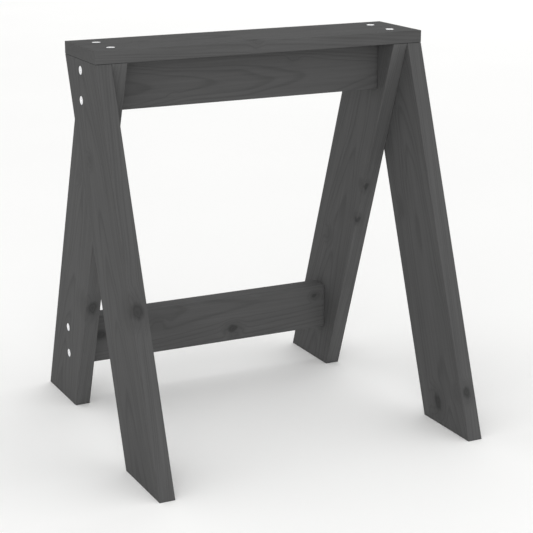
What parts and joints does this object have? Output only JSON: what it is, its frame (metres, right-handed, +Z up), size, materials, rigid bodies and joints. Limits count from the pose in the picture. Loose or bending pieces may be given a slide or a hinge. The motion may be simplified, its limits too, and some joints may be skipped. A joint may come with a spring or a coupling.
{
  "type": "sawhorse",
  "caption": "Low wooden sawhorse: crossed leaning board legs at each end carry a flat top board on a rail, with a lower rail between the back legs.",
  "frame": {"origin": "on the floor, under the middle of the top board", "axes": "+X along the top board to the right, +Y to the back where the lower rail is, +Z up"},
  "size_m": [0.488, 0.494, 0.55],
  "materials": {
    "grey_stained_pine": "dark grey opaque stain, matt, grain and knots showing faintly",
    "zinc_plated_steel": "bright zinc plate, satin"
  },
  "bodies": {
    "root": {"top_board": "grey_stained_pine", "top_rail": "grey_stained_pine", "lower_rail": "grey_stained_pine", "leg_front_left": "grey_stained_pine", "leg_front_right": "grey_stained_pine", "leg_back_left": "grey_stained_pine", "leg_back_right": "grey_stained_pine", "top_screw_left_front": "zinc_plated_steel", "top_screw_left_back": "zinc_plated_steel", "top_screw_right_front": "zinc_plated_steel", "top_screw_right_back": "zinc_plated_steel", "top_rail_screw_left_lower": "zinc_plated_steel", "top_rail_screw_left_upper": "zinc_plated_steel", "top_rail_screw_right_lower": "zinc_plated_steel", "top_rail_screw_right_upper": "zinc_plated_steel", "lower_rail_screw_left_lower": "zinc_plated_steel", "lower_rail_screw_left_upper": "zinc_plated_steel", "lower_rail_screw_right_lower": "zinc_plated_steel", "lower_rail_screw_right_upper": "zinc_plated_steel"}
  },
  "joints": []
}
